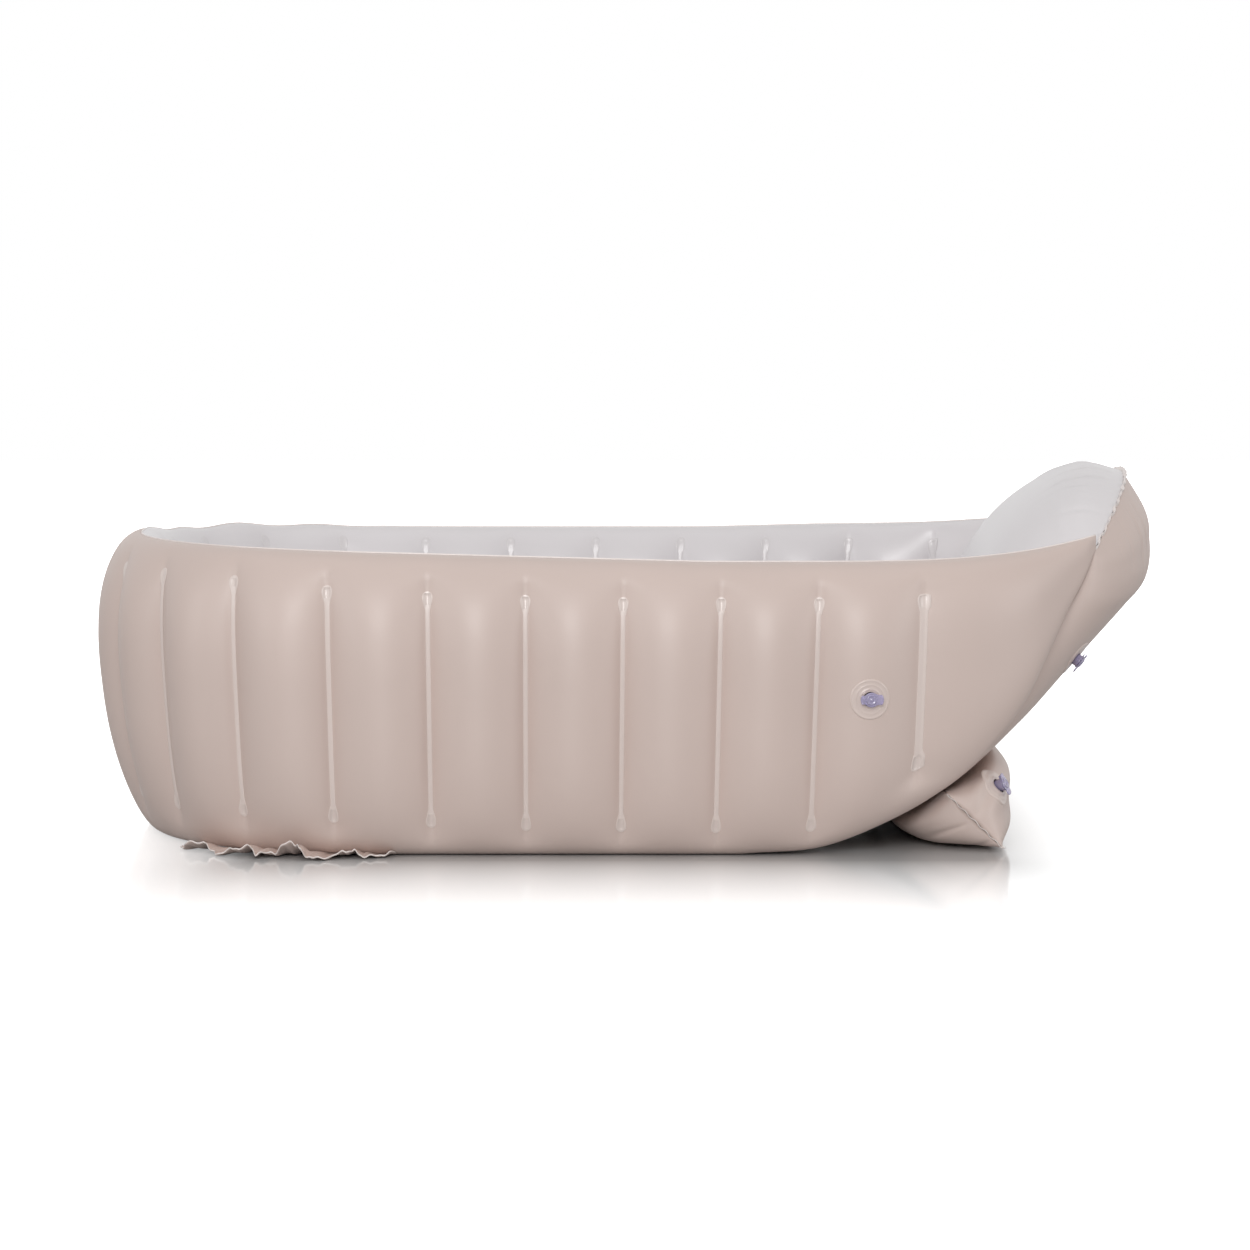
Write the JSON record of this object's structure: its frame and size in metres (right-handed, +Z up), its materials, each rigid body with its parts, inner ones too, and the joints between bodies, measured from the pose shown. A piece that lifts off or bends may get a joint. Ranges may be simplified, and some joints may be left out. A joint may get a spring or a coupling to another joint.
{
  "type": "inflatable bathtub",
  "caption": "Baby-size inflatable bath with a ribbed U-shaped wall, a channelled floor, a slanted head cushion on a wedge bolster, push-in air valves and a drain plug.",
  "frame": {"origin": "centre of the footprint, on the ground", "axes": "+X runs to the head end, along the bath's length, +Z up"},
  "size_m": [0.973, 0.6302, 0.3291],
  "materials": {
    "beige_film": "satin",
    "white_film": "satin",
    "clear_vinyl": "gloss",
    "rubber": "matte"
  },
  "bodies": {
    "root": {"wall_outer_skin": "beige_film", "wall_inner_skin": "white_film", "wall_web_01": "white_film", "wall_web_02": "white_film", "wall_web_03": "white_film", "wall_web_04": "white_film", "wall_web_05": "white_film", "wall_web_06": "white_film", "wall_web_07": "white_film", "wall_web_08": "white_film", "wall_web_09": "white_film", "wall_web_10": "white_film", "wall_web_11": "white_film", "wall_web_12": "white_film", "wall_web_13": "white_film", "wall_web_14": "white_film", "wall_web_15": "white_film", "wall_web_16": "white_film", "wall_web_17": "white_film", "wall_web_18": "white_film", "wall_web_19": "white_film", "wall_web_20": "white_film", "wall_web_21": "white_film", "wall_web_22": "white_film", "wall_web_23": "white_film", "floor_top_skin": "white_film", "floor_bottom_skin": "beige_film", "cushion_front_skin": "white_film", "cushion_back_skin": "beige_film", "bolster_lower_skin": "beige_film", "bolster_upper_skin": "beige_film", "bottom_skirt": "beige_film", "wall_valve_flange": "clear_vinyl", "cushion_valve_flange": "clear_vinyl", "bolster_valve_flange": "clear_vinyl", "floor_valve_flange": "clear_vinyl", "drain_seat": "rubber"},
    "wall_valve_stem": {"wall_valve_stem": "clear_vinyl"},
    "wall_valve_cap": {"wall_valve_cap": "clear_vinyl"},
    "wall_valve_flap": {"wall_valve_flap": "clear_vinyl"},
    "cushion_valve_stem": {"cushion_valve_stem": "clear_vinyl"},
    "cushion_valve_cap": {"cushion_valve_cap": "clear_vinyl"},
    "cushion_valve_flap": {"cushion_valve_flap": "clear_vinyl"},
    "bolster_valve_stem": {"bolster_valve_stem": "clear_vinyl"},
    "bolster_valve_cap": {"bolster_valve_cap": "clear_vinyl"},
    "bolster_valve_flap": {"bolster_valve_flap": "clear_vinyl"},
    "floor_valve_stem": {"floor_valve_stem": "clear_vinyl"},
    "floor_valve_cap": {"floor_valve_cap": "clear_vinyl"},
    "floor_valve_flap": {"floor_valve_flap": "clear_vinyl"},
    "drain_plug": {"drain_plug": "rubber"}
  },
  "joints": [
    {"name": "wall_valve_slide", "type": "slide", "parent": "root", "child": "wall_valve_stem", "axis": [0.1449, -0.9894, 0.0039], "range_m": [0, 0.012]},
    {"name": "wall_valve_cap_hinge", "type": "hinge", "parent": "wall_valve_stem", "child": "wall_valve_cap", "pos_m": [0.20361, -0.31556, 0.13906], "axis": [0, -0.0039, -1], "range_deg": [0, 150]},
    {"name": "wall_valve_flap_hinge", "type": "hinge", "parent": "wall_valve_stem", "child": "wall_valve_flap", "pos_m": [0.20311, -0.29421, 0.13898], "axis": [0, -0.0039, -1], "range_deg": [-60, 0]},
    {"name": "cushion_valve_slide", "type": "slide", "parent": "root", "child": "cushion_valve_stem", "axis": [0.7575, -0.2418, -0.6065], "range_m": [0, 0.012]},
    {"name": "cushion_valve_cap_hinge", "type": "hinge", "parent": "cushion_valve_stem", "child": "cushion_valve_cap", "pos_m": [0.4135, -0.15203, 0.16197], "axis": [-0.1014, -0.9612, 0.2565], "range_deg": [0, 150]},
    {"name": "cushion_valve_flap_hinge", "type": "hinge", "parent": "cushion_valve_stem", "child": "cushion_valve_flap", "pos_m": [0.39576, -0.14725, 0.17287], "axis": [-0.1014, -0.9612, 0.2565], "range_deg": [-60, 0]},
    {"name": "bolster_valve_slide", "type": "slide", "parent": "root", "child": "bolster_valve_stem", "axis": [0.8262, -0.4186, 0.3771], "range_m": [0, 0.012]},
    {"name": "bolster_valve_cap_hinge", "type": "hinge", "parent": "bolster_valve_stem", "child": "bolster_valve_cap", "pos_m": [0.33037, -0.23806, 0.06483], "axis": [-0.3808, -0.9082, -0.1738], "range_deg": [0, 150]},
    {"name": "bolster_valve_flap_hinge", "type": "hinge", "parent": "bolster_valve_stem", "child": "bolster_valve_flap", "pos_m": [0.31393, -0.22919, 0.05447], "axis": [-0.3808, -0.9082, -0.1738], "range_deg": [-60, 0]},
    {"name": "floor_valve_slide", "type": "slide", "parent": "root", "child": "floor_valve_stem", "axis": [0, 0, 1], "range_m": [0, 0.012]},
    {"name": "floor_valve_cap_hinge", "type": "hinge", "parent": "floor_valve_stem", "child": "floor_valve_cap", "pos_m": [-0.26304, 0.1386, 0.0402], "axis": [-1, 0, 0], "range_deg": [0, 150]},
    {"name": "floor_valve_flap_hinge", "type": "hinge", "parent": "floor_valve_stem", "child": "floor_valve_flap", "pos_m": [-0.26304, 0.136, 0.019], "axis": [-1, 0, 0], "range_deg": [-60, 0]},
    {"name": "drain_plug_lift", "type": "slide", "parent": "root", "child": "drain_plug", "axis": [0, 0, 1], "range_m": [0, 0.03]}
  ]
}
